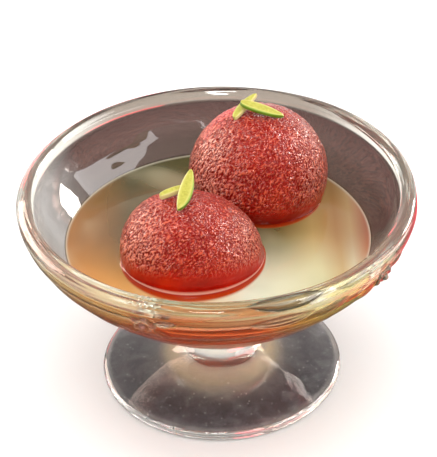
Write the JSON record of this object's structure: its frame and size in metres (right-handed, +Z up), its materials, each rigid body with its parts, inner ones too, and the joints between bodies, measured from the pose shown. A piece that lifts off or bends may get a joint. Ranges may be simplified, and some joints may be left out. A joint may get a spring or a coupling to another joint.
{
  "type": "gulab jamun",
  "caption": "Fried milk-dough balls soaked in sugar syrup, topped with pistachio slivers and served in a footed clear glass dessert dish.",
  "frame": {"origin": "centre of the foot's underside, on the surface the dish stands on", "axes": "+Z up out of the dish, -Y towards the side it is seen from"},
  "size_m": [0.12, 0.12, 0.0837],
  "materials": {
    "clear_glass": "clear pressed soda-lime glass, fire-polished",
    "sugar_syrup": "clear golden sugar syrup, still and wet",
    "soaked_jamun": "deep red fried milk dough, finely wrinkled and wet with syrup",
    "cut_pistachio": "fresh-cut pistachio kernel, yellow-green and a little oily"
  },
  "bodies": {
    "root": {"dessert_glass": "clear_glass", "syrup": "sugar_syrup", "gulab_jamun_front": "soaked_jamun", "gulab_jamun_back": "soaked_jamun", "pistachio_sliver_back_under": "cut_pistachio", "pistachio_sliver_back_over": "cut_pistachio", "pistachio_sliver_front_under": "cut_pistachio", "pistachio_sliver_front_over": "cut_pistachio"}
  },
  "joints": []
}
